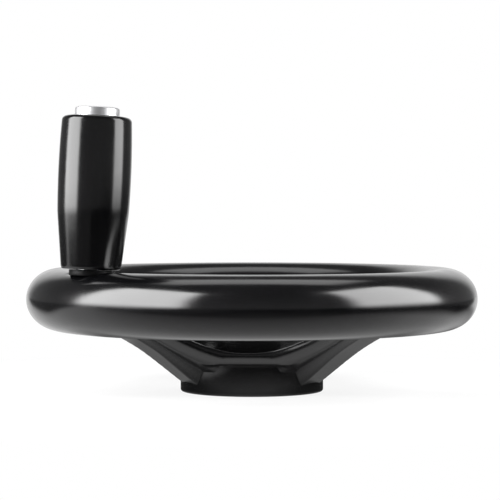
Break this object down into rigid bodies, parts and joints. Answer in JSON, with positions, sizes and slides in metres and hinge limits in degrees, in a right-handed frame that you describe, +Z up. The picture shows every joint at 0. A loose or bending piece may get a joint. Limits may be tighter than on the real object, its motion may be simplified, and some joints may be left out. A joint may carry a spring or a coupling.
{
  "type": "handwheel",
  "caption": "Spoked machine handwheel of glossy black moulding with a round rim, a steel-bushed hub bore and a revolving barrel handle standing on the rim.",
  "frame": {"origin": "centre of the bore on the hub's bottom face", "axes": "+Z up along the bore towards the handle side; one spoke points along +Y, and the handle stands on the rim at about 221 degrees from +X, seen from above"},
  "size_m": [0.16, 0.16, 0.0992],
  "materials": {
    "moulding": "glossy black phenolic moulding",
    "handle_moulding": "glossy black phenolic moulding",
    "bush_steel": "turned steel",
    "insert_brass": "turned brass",
    "washer_steel": "black oxide",
    "plated_steel": "bright zinc plating"
  },
  "bodies": {
    "wheel": {"wheel_body": "moulding", "hub_bush": "bush_steel", "handle_insert": "insert_brass", "seat_washer": "washer_steel", "spindle": "plated_steel"},
    "handle": {"handle_sleeve": "handle_moulding"}
  },
  "joints": [
    {"name": "handle_spin", "type": "hinge", "parent": "wheel", "child": "handle", "pos_m": [-0.05185, -0.04507, 0.0424], "axis": [0.0395, 0.0343, 0.9986], "continuous": true}
  ]
}
